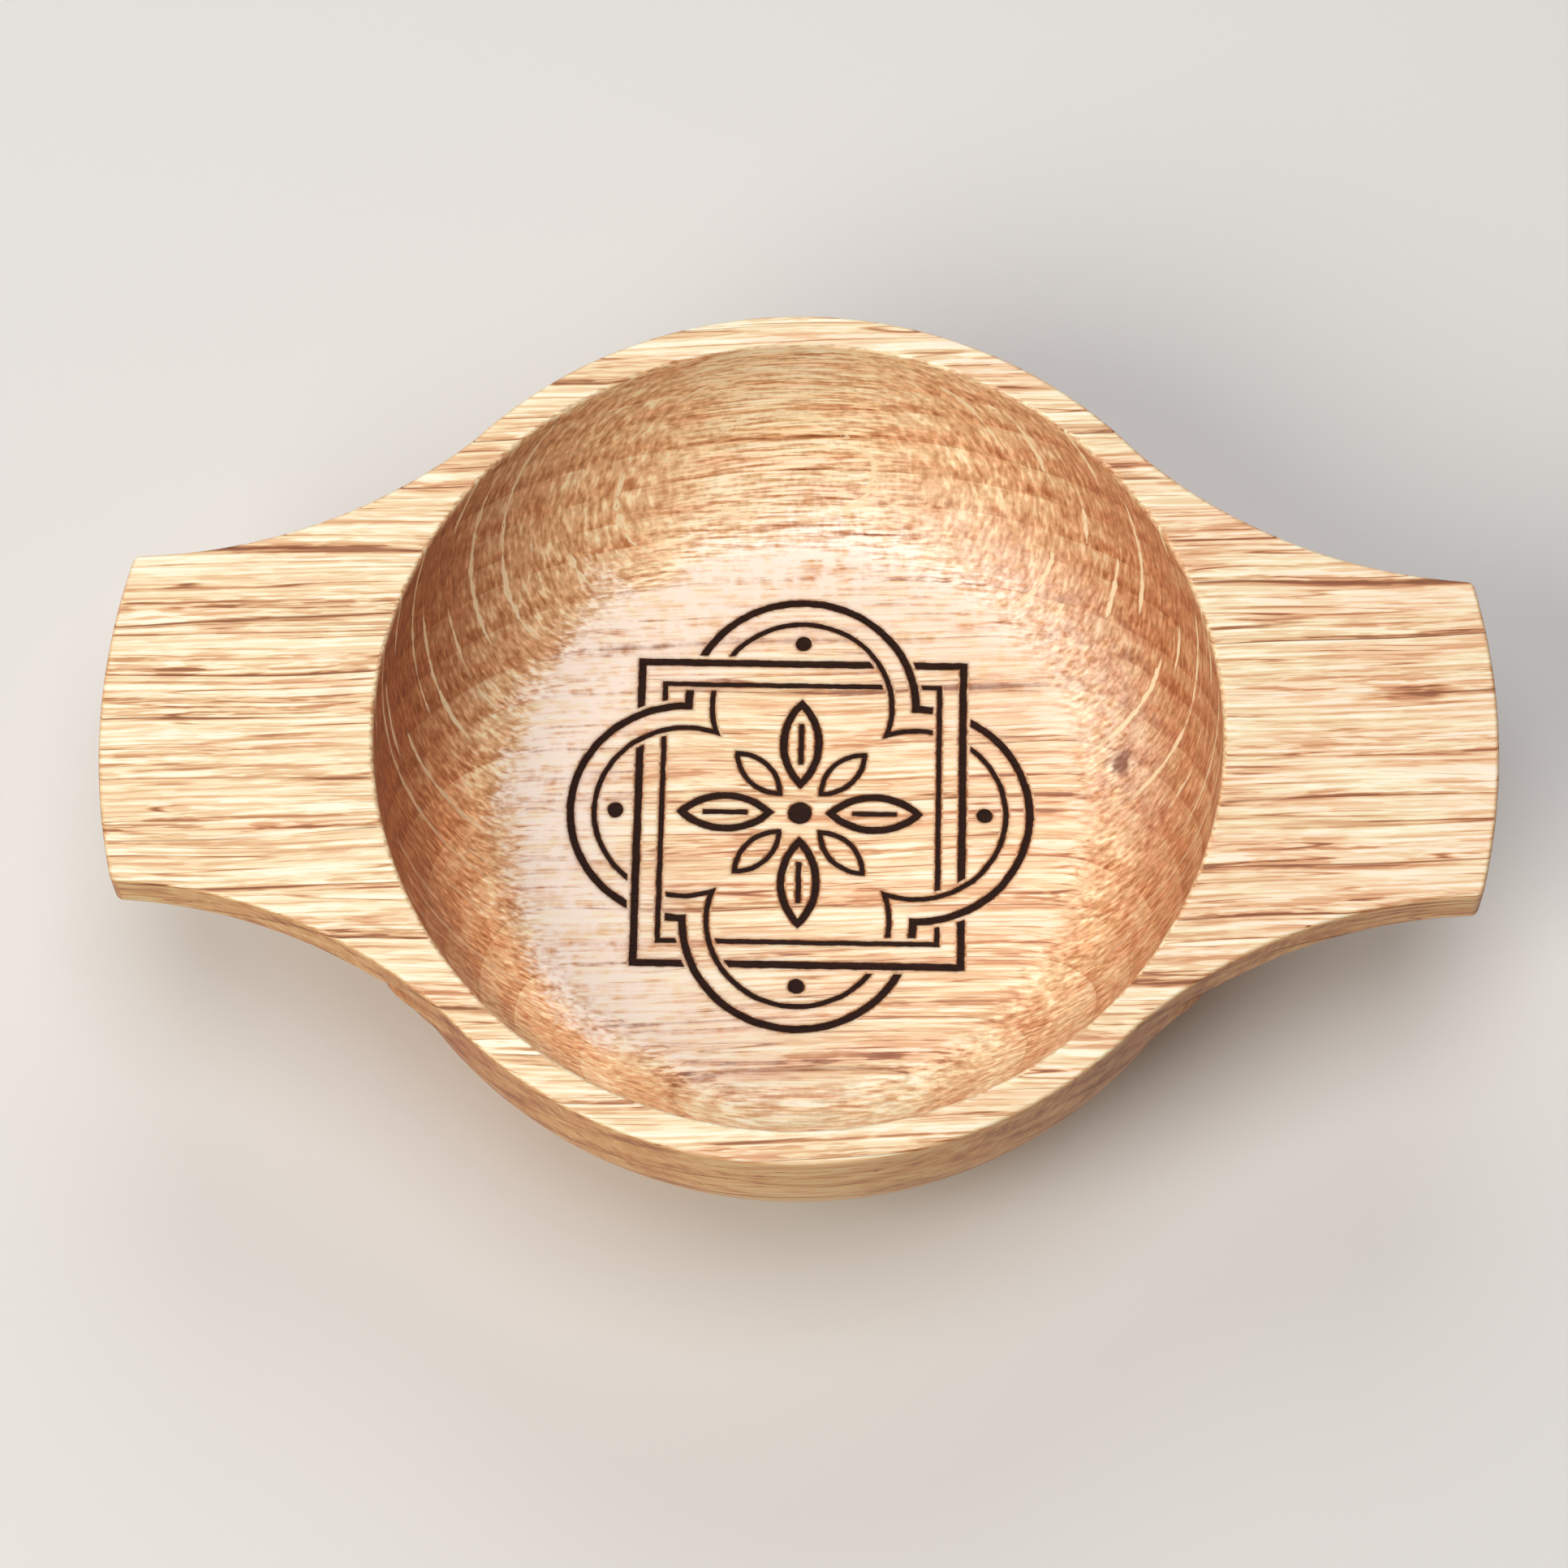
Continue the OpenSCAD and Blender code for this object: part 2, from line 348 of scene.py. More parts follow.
def close_tree(bench, geometry, given):
    """The end that every tree has: smooth faces, no instances left, and a material."""
    smooth = bench.value("GeometryNodeSetShadeSmooth", {"Geometry": geometry})
    real = bench.value("GeometryNodeRealizeInstances", {"Geometry": smooth})
    done = bench.value("GeometryNodeSetMaterial", {"Geometry": real, "Material": given["Material"]})
    bench.node("NodeGroupOutput", {"Geometry": done})


def add_object(context, name, data):
    """A new object in the scene."""
    made = bpy.data.objects.new(name, data)
    context.scene.collection.objects.link(made)
    return made


def grow(context, name, mesh, tree, values):
    """Runs a geometry tree on a mesh and returns the result as a plain object."""
    source = add_object(context, name + "_source", mesh)
    modifier = source.modifiers.new("Grow", "NODES")
    modifier.node_group = tree
    for item in tree.interface.items_tree:
        if item.in_out == "INPUT" and item.name in values:
            modifier[item.identifier] = values[item.name]
    graph = context.evaluated_depsgraph_get()
    grown = bpy.data.meshes.new_from_object(
        source.evaluated_get(graph), preserve_all_data_layers=True, depsgraph=graph
    )
    source.modifiers.remove(modifier)
    bpy.data.objects.remove(source)
    grown.name = name
    return add_object(context, name, grown)


def face_outwards(mesh):
    """Turns the faces of a closed mesh outwards."""
    shape = bmesh.new()
    shape.from_mesh(mesh)
    bmesh.ops.recalc_face_normals(shape, faces=shape.faces)
    shape.to_mesh(mesh)
    shape.free()


def mesh_of(name, points, faces, values):
    """A mesh that carries values, numbers or vectors, for each vertex."""
    mesh = bpy.data.meshes.new(name)
    mesh.from_pydata([tuple(point) for point in points], [], faces)
    for label, numbers in values.items():
        numbers = np.asarray(numbers, np.float32)
        is_vector = numbers.ndim == 2
        layer = mesh.attributes.new(label, "FLOAT_VECTOR" if is_vector else "FLOAT", "POINT")
        layer.data.foreach_set("vector" if is_vector else "value", numbers.ravel())
    return mesh


def seat(piece, node):
    """Puts a finished piece in the place of its construction node."""
    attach(piece, "root")
    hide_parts(node)


# Plan and section of the cup

def arc(centre, radius, start, end, step):
    """Points along an arc from one angle to another, no further apart than a step."""
    count = max(2, int(abs(end - start) * radius / step) + 1)
    angles = np.linspace(start, end, count)
    return np.column_stack([centre[0] + radius * np.cos(angles), centre[1] + radius * np.sin(angles)])


def lug_side(sizes, width):
    """Back edge of the right lug in plan, from the middle of its end to where it meets the rim."""
    reach = math.sqrt(
        sizes.rim_r**2 + sizes.hollow_r**2 + 2 * sizes.rim_r * sizes.hollow_r * math.cos(sizes.meet_angle)
    )
    hollow_y = width / 2 + sizes.hollow_r
    hollow = np.array([math.sqrt(reach**2 - hollow_y**2), hollow_y])

    # The corner's centre lies inside the end arc and outside the hollow
    to_end = sizes.end_r - sizes.corner_r
    to_hollow = sizes.hollow_r + sizes.corner_r
    bearing = math.atan2(hollow[1], hollow[0])
    corner_bearing = bearing - math.acos((reach**2 + to_end**2 - to_hollow**2) / (2 * reach * to_end))
    corner = to_end * np.array([math.cos(corner_bearing), math.sin(corner_bearing)])
    back = corner - hollow
    hollow_start = math.atan2(back[1], back[0]) % (2 * math.pi)

    touch_turn = math.acos(
        (reach**2 + sizes.hollow_r**2 - sizes.rim_r**2) / (2 * reach * sizes.hollow_r)
    )
    hollow_end = math.pi + bearing + touch_turn
    step = sizes.outline_step
    return [
        arc((0, 0), sizes.end_r, 0, corner_bearing, step),
        arc(corner, sizes.corner_r, corner_bearing, hollow_start - math.pi, step / 4),
        arc(hollow, sizes.hollow_r, hollow_start, hollow_end, step),
    ]


def sawn_outline(sizes):
    """Points of the whole plan outline, anticlockwise from the end of the right lug."""
    right = lug_side(sizes, sizes.right_w)
    left = [piece[::-1] * [-1, 1] for piece in lug_side(sizes, sizes.left_w)[::-1]]
    start = math.atan2(right[-1][-1, 1], right[-1][-1, 0])
    end = math.atan2(left[0][0, 1], left[0][0, 0])
    rim = arc((0, 0), sizes.rim_r, start, end, sizes.outline_step)
    pieces = [*right, rim, *left]
    back = np.concatenate([piece[1:] for piece in pieces])
    front = back[:-1][::-1] * [1, -1]
    start_point = [[sizes.end_r, 0]]
    return np.concatenate([start_point, back, front])


def inward_normals(outline):
    """Unit vectors that point into the wood, square to the outline."""
    along = np.roll(outline, -1, axis=0) - np.roll(outline, 1, axis=0)
    along /= np.linalg.norm(along, axis=1, keepdims=True)
    return np.column_stack([-along[:, 1], along[:, 0]])


def smooth_step(value, start, end):
    x = np.clip((value - start) / (end - start), 0, 1)
    return x * x * (3 - 2 * x)


class Section:
    """Rings that the sweep lays round the outline, from the floor of the bowl to the middle of the foot.

    A ring follows the turned circle at its radius (hold 0), the sawn edge at its inset (hold 1), or lies
    between. Each has one row for the rim and one for the lugs: radius, inset, hold and height.
    """

    def __init__(self):
        self.rim, self.lug, self.wear = [], [], []

    def ring(self, rim, lug=None, wear=0.0):
        self.rim.append(rim)
        self.lug.append(lug or rim)
        self.wear.append(wear)

    def turned(self, points, wear=0.0):
        for radius, height in points:
            self.ring((radius, 0, 0, height), wear=wear)


def cup_section(sizes):
    """All the rings of the cup."""
    section = Section()
    top = sizes.cup_h
    floor_z = top - sizes.bowl_depth
    lip_z = top - sizes.lip_h
    quarter = math.pi / 2

    # Inside of the bowl: heel, wall, lip and the rounded inner edge
    run = sizes.opening_r - sizes.floor_r
    rise = sizes.bowl_depth - sizes.lip_h - sizes.heel_r
    wall_r = (run**2 + rise**2 - sizes.heel_r**2) / (2 * (run - sizes.heel_r))
    wall_x = sizes.opening_r - wall_r
    heel_z = floor_z + sizes.heel_r
    heel_angle = math.atan2(heel_z - lip_z, sizes.floor_r - wall_x)
    bowl_step, cove_step, edge_step = 1.1 * MM, 0.55 * MM, 0.2 * MM
    section.turned(arc((sizes.floor_r, heel_z), sizes.heel_r, -quarter, heel_angle, bowl_step))
    section.turned(arc((wall_x, lip_z), wall_r, heel_angle, 0, bowl_step)[1:])
    ease = sizes.lip_ease
    section.turned([(sizes.opening_r, lip_z + (sizes.lip_h - ease) * k / 3) for k in (1, 2)])
    inner_edge = arc((sizes.opening_r + ease, top - ease), ease, math.pi, quarter, edge_step)
    section.turned(inner_edge, wear=1.0)

    # Level top, out to the sawn edge
    hold_gap = 0.15 * MM
    inner_r = sizes.opening_r + ease + hold_gap
    outer_inset = sizes.rim_ease + hold_gap
    for hold in np.linspace(0, 1, 7):
        section.ring((inner_r, outer_inset, hold, top))
    for angle in np.linspace(0, quarter, 5):
        inset = sizes.rim_ease * (1 - math.sin(angle))
        height = top - sizes.rim_ease * (1 - math.cos(angle))
        section.ring((0, inset, 1, height), wear=1.0)

    # Sawn side, lower edge, underside and cove of a lug. On the rim these rings lie on the upright wall
    lug_z = top - sizes.lug_t
    turned_r = sizes.rim_r + sizes.saw_stock
    belly_z = lug_z - sizes.cove_r
    cove_x = turned_r + sizes.cove_r
    side_top = top - sizes.rim_ease
    side_low = lug_z + sizes.lug_ease
    lug_rings = [(0, 0, 1, height) for height in np.linspace(side_top, side_low, 8)[1:-1]]
    for angle in np.linspace(0, quarter, 6):
        inset = sizes.lug_ease * (1 - math.cos(angle))
        lug_rings.append((0, inset, 1, lug_z + sizes.lug_ease * (1 - math.sin(angle))))
    lug_rings += [(cove_x, sizes.lug_ease, hold, lug_z) for hold in np.linspace(0.97, 0, 9)]
    cove = arc((cove_x, belly_z), sizes.cove_r, quarter, math.pi, cove_step)[1:]
    lug_rings += [(radius, 0, 0, height) for radius, height in cove]
    for ring, height in zip(lug_rings, np.linspace(side_top, belly_z, len(lug_rings) + 1)[1:]):
        section.ring((0, 0, 1, height), ring)

    # Belly down to the foot
    belly_r = belly_z - sizes.foot_h
    belly_x = turned_r - belly_r
    belly_end = -math.acos((sizes.foot_r - belly_x) / belly_r)
    for angle in np.linspace(0, belly_end, 30)[1:]:
        height = belly_z + belly_r * math.sin(angle)
        under_lug = belly_x + belly_r * math.cos(angle)
        under_rim = under_lug - sizes.saw_stock * math.cos(angle)
        section.ring((under_rim, 0, 0, height), (under_lug, 0, 0, height))

    # Foot and the recess under it
    ease = sizes.foot_ease
    foot_top = section.rim[-1][3]
    section.turned([(sizes.foot_r, foot_top - hold_gap), (sizes.foot_r, ease + hold_gap)])
    section.turned(arc((sizes.foot_r - ease, ease), ease, 0, -quarter, edge_step), wear=1.0)
    inner = sizes.recess_r
    section.turned([(sizes.foot_r - ease - hold_gap, 0), (inner + ease + hold_gap, 0)])
    section.turned(arc((inner + ease, ease), ease, -quarter, -math.pi, edge_step), wear=1.0)
    depth = sizes.recess_d
    section.turned([(inner, depth - hold_gap), (inner, depth), (inner - hold_gap, depth)])
    section.turned([(inner * k / 4, depth) for k in (3, 2, 1, 0)])
    return section


def sweep_tree():
    """Tree that lays the rings of a section round an outline and joins them to the floor of the bowl."""
    kinds = {"Floor": "Geometry", "Outline": "Object", "Section": "Object", "Merge Distance": "Float"}
    tree, bench, given = tree_of("Sawn turning", kinds)

    def points_of(name):
        points = bench.value("GeometryNodeObjectInfo", {"Object": given[name]}, "Geometry")
        return points, bench.value("GeometryNodeAttributeDomainSize", {"Geometry": points}, "Point Count")

    outline, around = points_of("Outline")
    section, rings = points_of("Section")
    grid = bench.value("GeometryNodeMeshGrid", {"Vertices X": around + 1, "Vertices Y": rings}, "Mesh")
    index = bench.value("GeometryNodeInputIndex")
    column = bench.math("FLOOR", (index + 0.5) / rings)
    row = index - column * rings
    spot = bench.math("MODULO", column, around)

    def read(geometry, place, label, kind):
        value = bench.value("GeometryNodeInputNamedAttribute", {"Name": label}, data_type=kind)
        inputs = {"Geometry": geometry, "Value": value, "Index": place}
        return bench.value("GeometryNodeSampleIndex", inputs, data_type=kind, domain="POINT")

    edge = read(outline, spot, "edge", "FLOAT_VECTOR")
    inward = read(outline, spot, "inward", "FLOAT_VECTOR")
    lug_share = read(outline, spot, "lug_share", "FLOAT")
    outward = bench.vector("NORMALIZE", edge)

    def place(kind):
        radius, inset, hold = bench.separate(read(section, row, kind + "_ring", "FLOAT_VECTOR"))
        height = read(section, row, kind + "_height", "FLOAT")
        sawn = bench.vector("ADD", edge, bench.scale(inward, inset))
        flat = bench.blend(bench.scale(outward, radius), sawn, hold)
        return bench.vector("ADD", flat, bench.combine(0.0, 0.0, height))

    position = bench.blend(place("rim"), place("lug"), lug_share)
    swept = bench.value("GeometryNodeSetPosition", {"Geometry": grid, "Position": position})
    wear = {"Geometry": swept, "Name": "wear", "Value": read(section, row, "wear", "FLOAT")}
    worn = bench.value("GeometryNodeStoreNamedAttribute", wear, data_type="FLOAT", domain="POINT")
    joined = bench.node("GeometryNodeJoinGeometry")
    bench.feed(joined.inputs[0], worn)
    bench.feed(joined.inputs[0], given["Floor"])
    merge = {"Geometry": joined.outputs[0], "Distance": given["Merge Distance"]}
    whole = bench.value("GeometryNodeMergeByDistance", merge)
    close_tree(bench, whole, given)
    return tree


# Burnt lines and the floor that they lie in

def burnt_loops(node):
    """Closed plan outlines of the top of a burnt node, in metres."""
    shape = bmesh.new()
    shape.from_mesh(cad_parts[node].data)
    bmesh.ops.remove_doubles(shape, verts=shape.verts, dist=MERGE)
    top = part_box(node)[1].z
    on_top = {f for f in shape.faces if all(abs(v.co.z - top) < MERGE for v in f.verts)}
    neighbours = {}
    for edge in shape.edges:
        if len(on_top.intersection(edge.link_faces)) == 1:
            for vert in edge.verts:
                neighbours.setdefault(vert, []).append(edge.other_vert(vert))
    loops = []
    while neighbours:
        start = next(iter(neighbours))
        loop, vert = [], start
        while vert in neighbours:
            loop.append(vert.co.xy)
            ahead = [v for v in neighbours.pop(vert) if v in neighbours]
            vert = ahead[0] if ahead else None
        loops.append(np.array(loop))
    shape.free()
    return loops


def split_loop(loop, step):
    """A closed outline with points added so that none are further apart than a step."""
    points = []
    for start, end in zip(loop, np.roll(loop, -1, axis=0)):
        count = max(1, math.ceil(np.linalg.norm(end - start) / step))
        points.extend(start + (end - start) * k / count for k in range(count))
    return np.array(points)


def burnt_edges(node, look):
    """Plan outlines of a burnt node with the small waves that fire leaves along an edge."""
    noise.seed_set(WAVE_SEED)
    edges = []
    for loop in burnt_loops(node):
        points = split_loop(loop, look.edge_step)
        stray = np.zeros_like(points)
        for size, amount in EDGE_WAVES:
            waves = [noise.noise_vector(Vector((x, y, 0)) / size) for x, y in points]
            stray += amount * np.array(waves)[:, :2]
        edges.append(points + look.uneven * stray)
    return edges


def gap_finder(loops):
    """A function that gives the distance from points to the nearest of the outlines."""
    dense = np.concatenate([split_loop(loop, GAP_STEP) for loop in loops])
    tree = KDTree(len(dense))
    for index, (x, y) in enumerate(dense):
        tree.insert((x, y, 0), index)
    tree.balance()
    return lambda points: np.array([tree.find((x, y, 0))[2] for x, y in points])


def hex_points(radius, step):
    """Points of a triangular lattice that fill a circle."""
    row_gap = step * math.sqrt(3) / 2
    rows, columns = int(radius / row_gap), int(radius / step) + 1
    points = []
    for row in range(-rows, rows + 1):
        shift = 0.5 * (row % 2)
        points.extend(((column + shift) * step, row * row_gap) for column in range(-columns, columns))
    points = np.array(points)
    return points[np.hypot(*points.T) < radius]


def triangulate(outer, loops, free):
    """Triangles of the area inside outer, split into those outside and inside the loops."""
    bounds = [outer, *loops] if outer is not None else loops
    points, faces = [], []
    for loop in bounds:
        faces.append(list(range(len(points), len(points) + len(loop))))
        points.extend(loop)
    points.extend(free)
    scaled = [Vector(p / MM) for p in points]
    epsilon = 1e-4
    verts, _, triangles, _, _, owners = delaunay_2d_cdt(scaled, [], faces, 0, epsilon)
    first_loop = 0 if outer is None else 1
    outside, inside = [], []
    for triangle, owner in zip(triangles, owners):
        depth = sum(face >= first_loop for face in owner)
        (inside if depth % 2 else outside).append(triangle)
    return np.array(verts) * MM, outside, inside


class Shell:
    """Collects vertices and faces, with values for each vertex, and makes a mesh of them."""

    def __init__(self):
        self.points, self.faces, self.values = [], [], {}

    def add(self, points, faces, **values):
        first = len(self.points)
        self.points.extend(points)
        self.faces.extend([tuple(first + v for v in face) for face in faces])
        for label, numbers in values.items():
            self.values.setdefault(label, []).extend(numbers)

    def mesh(self, name):
        made = mesh_of(name, self.points, self.faces, self.values)
        shape = bmesh.new()
        shape.from_mesh(made)
        bmesh.ops.remove_doubles(shape, verts=shape.verts, dist=MERGE)
        bmesh.ops.delete(shape, geom=[v for v in shape.verts if not v.link_faces], context="VERTS")
        bmesh.ops.recalc_face_normals(shape, faces=shape.faces)
        shape.to_mesh(made)
        shape.free()
        return made


def raised(points, height):
    """Plan points at a height, or at one height each."""
    return np.column_stack([points, np.broadcast_to(height, len(points))])


def wall(shell, loop, high, low, **values):
    """An upright band between two heights of a closed outline."""
    count = len(loop)
    faces = [(k, (k + 1) % count, count + (k + 1) % count, count + k) for k in range(count)]
    points = np.concatenate([raised(loop, high), raised(loop, low)])
    shell.add(points, faces, **{label: [value] * len(points) for label, value in values.items()})


def bowl_floor(sizes, look, angles, loops):
    """The flat floor, with a groove under every burnt line and browned wood beside it."""
    floor_z = sizes.cup_h - sizes.bowl_depth
    groove_z = floor_z - sizes.groove_depth
    ring = sizes.floor_r * np.column_stack([np.cos(angles), np.sin(angles)])
    gap_of = gap_finder(loops)

    # Fine points in a band beside the lines, and coarse ones on the plain floor
    fine_step, coarse_step, band = 0.3 * MM, 1.1 * MM, 0.8 * MM
    clear = 0.4 * fine_step
    fine = hex_points(sizes.floor_r - fine_step, fine_step)
    fine_gap = gap_of(fine)
    fine = fine[(fine_gap > clear) & (fine_gap < band)]
    coarse = hex_points(sizes.floor_r - 0.6 * coarse_step, coarse_step)
    coarse = coarse[gap_of(coarse) >= band + clear]
    points, outside, inside = triangulate(ring, loops, np.concatenate([fine, coarse]))

    gaps = gap_of(points)
    lip = look.sink * np.exp(-gaps / (0.5 * look.halo))
    scorch = np.exp(-gaps / look.halo)
    shell = Shell()
    shell.add(raised(points, floor_z - lip), outside, scorch=scorch)
    for loop in loops:
        wall(shell, loop, floor_z - look.sink, groove_z, scorch=1.0)
    shell.add(raised(points, groove_z), inside, scorch=np.ones(len(points)))
    return shell.mesh("bowl_floor")


def char_bed(sizes, look, loops, name):
    """The char of one motif as a closed solid that fills its grooves, before its top is shaped."""
    floor_z = sizes.cup_h - sizes.bowl_depth
    top_z = floor_z - look.sink
    groove_z = floor_z - sizes.groove_depth
    gap_of = gap_finder(loops)
    reach = max(np.hypot(*loop.T).max() for loop in loops)
    free = hex_points(reach, look.mesh_step)
    free = free[gap_of(free) > 0.35 * look.mesh_step]
    points, _, inside = triangulate(None, loops, free)
    bottom, _, bottom_inside = triangulate(None, loops, [])
    shell = Shell()
    shell.add(raised(points, top_z), inside, edge_gap=gap_of(points))
    for loop in loops:
        wall(shell, loop, top_z, groove_z, edge_gap=0.0)
    shell.add(raised(bottom, groove_z), bottom_inside, edge_gap=np.zeros(len(bottom)))
    return shell.mesh(name)


def crust_tree():
    """Tree that sinks the middle of a burnt line below its edges and breaks it into crumbs."""
    sizes = dict.fromkeys(("Hollow", "Softness", "Crust", "Crumb"), "Float")
    tree, bench, given = tree_of("Char crust", {"Bed": "Geometry", **sizes})
    gap = bench.value("GeometryNodeInputNamedAttribute", {"Name": "edge_gap"}, data_type="FLOAT")
    inside = 1.0 - bench.math("EXPONENT", gap / given["Softness"] * -1.0)
    position = bench.value("GeometryNodeInputPosition")
    crumbs = bench.noise(bench.scale(position, bench.math("DIVIDE", 1.0, given["Crumb"])), detail=3.0)
    drop = (crumbs - 0.5) * given["Crust"] * 2.0 - given["Hollow"]
    offset = bench.combine(0.0, 0.0, inside * drop)
    shaped = bench.value("GeometryNodeSetPosition", {"Geometry": given["Bed"], "Offset": offset})
    close_tree(bench, shaped, given)
    return tree


# Materials

def new_material(name, kind=Bench):
    """A material with an empty tree, the bench for it and its shader."""
    material = bpy.data.materials.new(name)
    material.use_nodes = True
    material.node_tree.nodes.clear()
    bench = kind(material.node_tree)
    shader = bench.node("ShaderNodeBsdfPrincipled")
    bench.node("ShaderNodeOutputMaterial", {"Surface": shader.outputs[0]})
    return material, bench, shader


class OakBench(Bench):
    """Grows oak as a solid: rings, pores and rays run through the wood and show as each face cuts them.

    Lengths are in millimetres. A tone is a place on the ramp from the brownest shade to the palest.
    """

    def grow(self, look):
        """Adds the whole wood, from its grain to the marks on it."""
        self.look = look
        self.set_directions()
        self.set_masks()
        self.set_rings()
        self.set_fibres()
        self.paint_wood()
        self.add_painted_sheen()
        self.add_grit()
        self.add_rays()
        self.add_marks()

    def grain(self, along, radial, across, detail=1.0):
        """Noise about nought, with cells of these sizes along the wood's own directions."""
        cell = self.combine(self.along / along, self.radial / radial, self.across / across)
        return self.noise(cell, detail, roughness=0.6) - 0.5

    def cloud(self, size, detail=2.0):
        """Noise about nought that is alike in all directions."""
        return self.noise(self.scale(self.place, 1 / size), detail) - 0.5

    def lay(self, amount, shade, blend_type="MIX"):
        """Covers the wood with a colour."""
        self.colour = self.mix(amount, self.colour, (*linear(shade), 1), blend_type)

    def tint(self, amount, shade):
        """Multiplies the wood's colour by another."""
        self.lay(amount, shade, "MULTIPLY")

    def set_directions(self):
        """Places in the cup, and in the wood: along the fibres, across the rings and across the rays."""
        coordinates = self.node("ShaderNodeTexCoord").outputs
        self.place = self.scale(coordinates["Object"], 1 / MM)
        self.normal = coordinates["Normal"]
        self.x, self.y, self.z = self.separate(self.place)
        self.out = self.math("SQRT", self.x * self.x + self.y * self.y)
        self.up = self.separate(self.normal)[2]

        swing, tilt = self.look.grain_turn, self.look.ray_tilt
        self.fibre = Vector((math.cos(swing), math.sin(swing), 0))
        level = math.sin(tilt)
        self.ray_normal = Vector((math.sin(swing) * level, -math.cos(swing) * level, math.cos(tilt)))
        wander = self.vector("MULTIPLY", self.place, (1 / 45, 1 / 18, 1 / 18))
        wander = self.vector("SUBTRACT", self.noise(wander, detail=1.0, output=1), (0.5, 0.5, 0.5))
        bent = self.vector("ADD", self.place, self.scale(wander, 2.0))
        self.along = self.dot(bent, self.fibre)
        self.radial = self.dot(bent, self.ray_normal.cross(self.fibre))
        self.across = self.dot(bent, self.ray_normal)

    def set_masks(self):
        """Where the bowl and its wall are, the outer sides, and the faces cut across the fibres, with
        painted shade that keeps these darker on the left than on the right.
        """
        within_rim = self.out.smooth(52.6, 52.2)
        not_belly = self.up.smooth(-0.3, -0.15)
        above_foot = self.z.smooth(6, 9)
        self.inside = within_rim * not_belly * above_foot
        self.lifting = self.inside * self.up.smooth(0.995, 0.93)
        self.wall = self.inside * self.up.smooth(0.97, 0.75)
        self.outside = (1.0 - self.inside) * abs(self.up).smooth(0.75, 0.3)

        self.wear = self.painted("wear")
        unworn = 1.0 - self.wear * 0.6
        facing = abs(self.dot(self.normal, self.fibre))
        self.speckled = facing.smooth(0.06, 0.4) * unworn
        # Painted shade: the cut faces darken less towards the right side and more on the left
        facing = facing + self.math("MAXIMUM", self.x, 0.0) * 0.002
        less_on_right = self.x.smooth(10, 45, 1.0, 0.65)
        self.end_cut_and_shade = facing.smooth(0.45, 1.0) * unworn * less_on_right

    def set_rings(self):
        """Growth rings: a line of large pores, then porous early wood that thins into dense late wood."""
        width = self.look.ring_w / MM
        phase = self.radial / width + self.grain(160, 6.0, 40, detail=0.0) * 0.7 + 0.65
        self.early = self.math("FRACT", phase).smooth(0.65, 0.1)
        cell = self.combine(self.along / 50, self.math("FLOOR", phase) * 3.7, self.across / 16)
        shows = self.noise(cell, detail=1.5).smooth(0.42, 0.60)
        reach = self.math("PINGPONG", phase, 0.5) * width / (shows * 0.17 + 0.02)
        self.pores = reach.smooth(1.0, 0.3) * shows
        self.ring_side = reach.smooth(3.0, 0.5) * shows

    def set_fibres(self):
        """Noises of the fibres, from long streaks and threads to short dashes and flecks."""
        self.streaks = self.grain(55, 0.42, 1.0, detail=1.5)
        self.dashes = self.grain(6.0, 0.40, 0.7, detail=2.0)
        self.patches = self.grain(20, 2.0, 3.5)
        self.flecks = self.grain(1.5, 2.0, 0.46, detail=1.5)
        self.ragged = self.cloud(1.6)
        threads = self.math("PINGPONG", self.grain(50, 0.9, 1.7, detail=0.0) * 4.0, 0.5)
        shows = self.grain(20, 0.8, 1.4, detail=0.0).smooth(-0.1, 0.1)
        self.threads = threads.smooth(0.13, 0.0) * shows * (1.0 - self.lifting * 0.75)

    def tone(self):
        """Streaks where a face runs along the fibres, and flecks of the small rays where it cuts them."""
        porous = (self.early * 0.35 + self.patches).smooth(-0.05, 0.45)
        dash = self.dashes.smooth(0.08, -0.06)
        lines = self.streaks * 1.25 - dash * (porous * 0.17 + 0.16)
        lines = lines - self.threads * 0.42 - self.ring_side * 0.34
        long_cut = lines * (1.0 - self.wall * 0.15) + 0.73

        blotches = self.cloud(6)
        speck = self.flecks + blotches * 0.25
        specks = speck.smooth(0.02, 0.2, 0.0, 0.22) + speck.smooth(-0.18, -0.02, -0.12, 0.0)
        bands = self.early * blotches.smooth(-0.15, 0.1, -0.03, -0.2)
        cross_cut = specks + bands + blotches * 0.3 + 0.47

        tone = long_cut * (1.0 - self.speckled) + cross_cut * self.speckled
        return tone + self.outside * self.patches * 0.9

    def paint_wood(self):
        """Colours by tone, with tints for pink patches, cut ends, and painted shade on the outer sides.
        """
        look = self.look
        shades = (look.brown, look.tan, look.honey, look.straw, look.cream, look.pale)
        self.colour = self.ramp(self.tone(), list(zip(SHADE_TONES, shades)))
        pinker_to_right = self.x * 0.0014 + self.patches
        self.tint(pinker_to_right.smooth(-0.05, 0.15), look.rosy)
        # End grain tint, partly painted shade: deeper on the left walls, lighter on the right
        self.tint(self.end_cut_and_shade, look.end_grain)
        # Painted shade on the upright outer sides
        self.tint(self.outside, look.sawn)

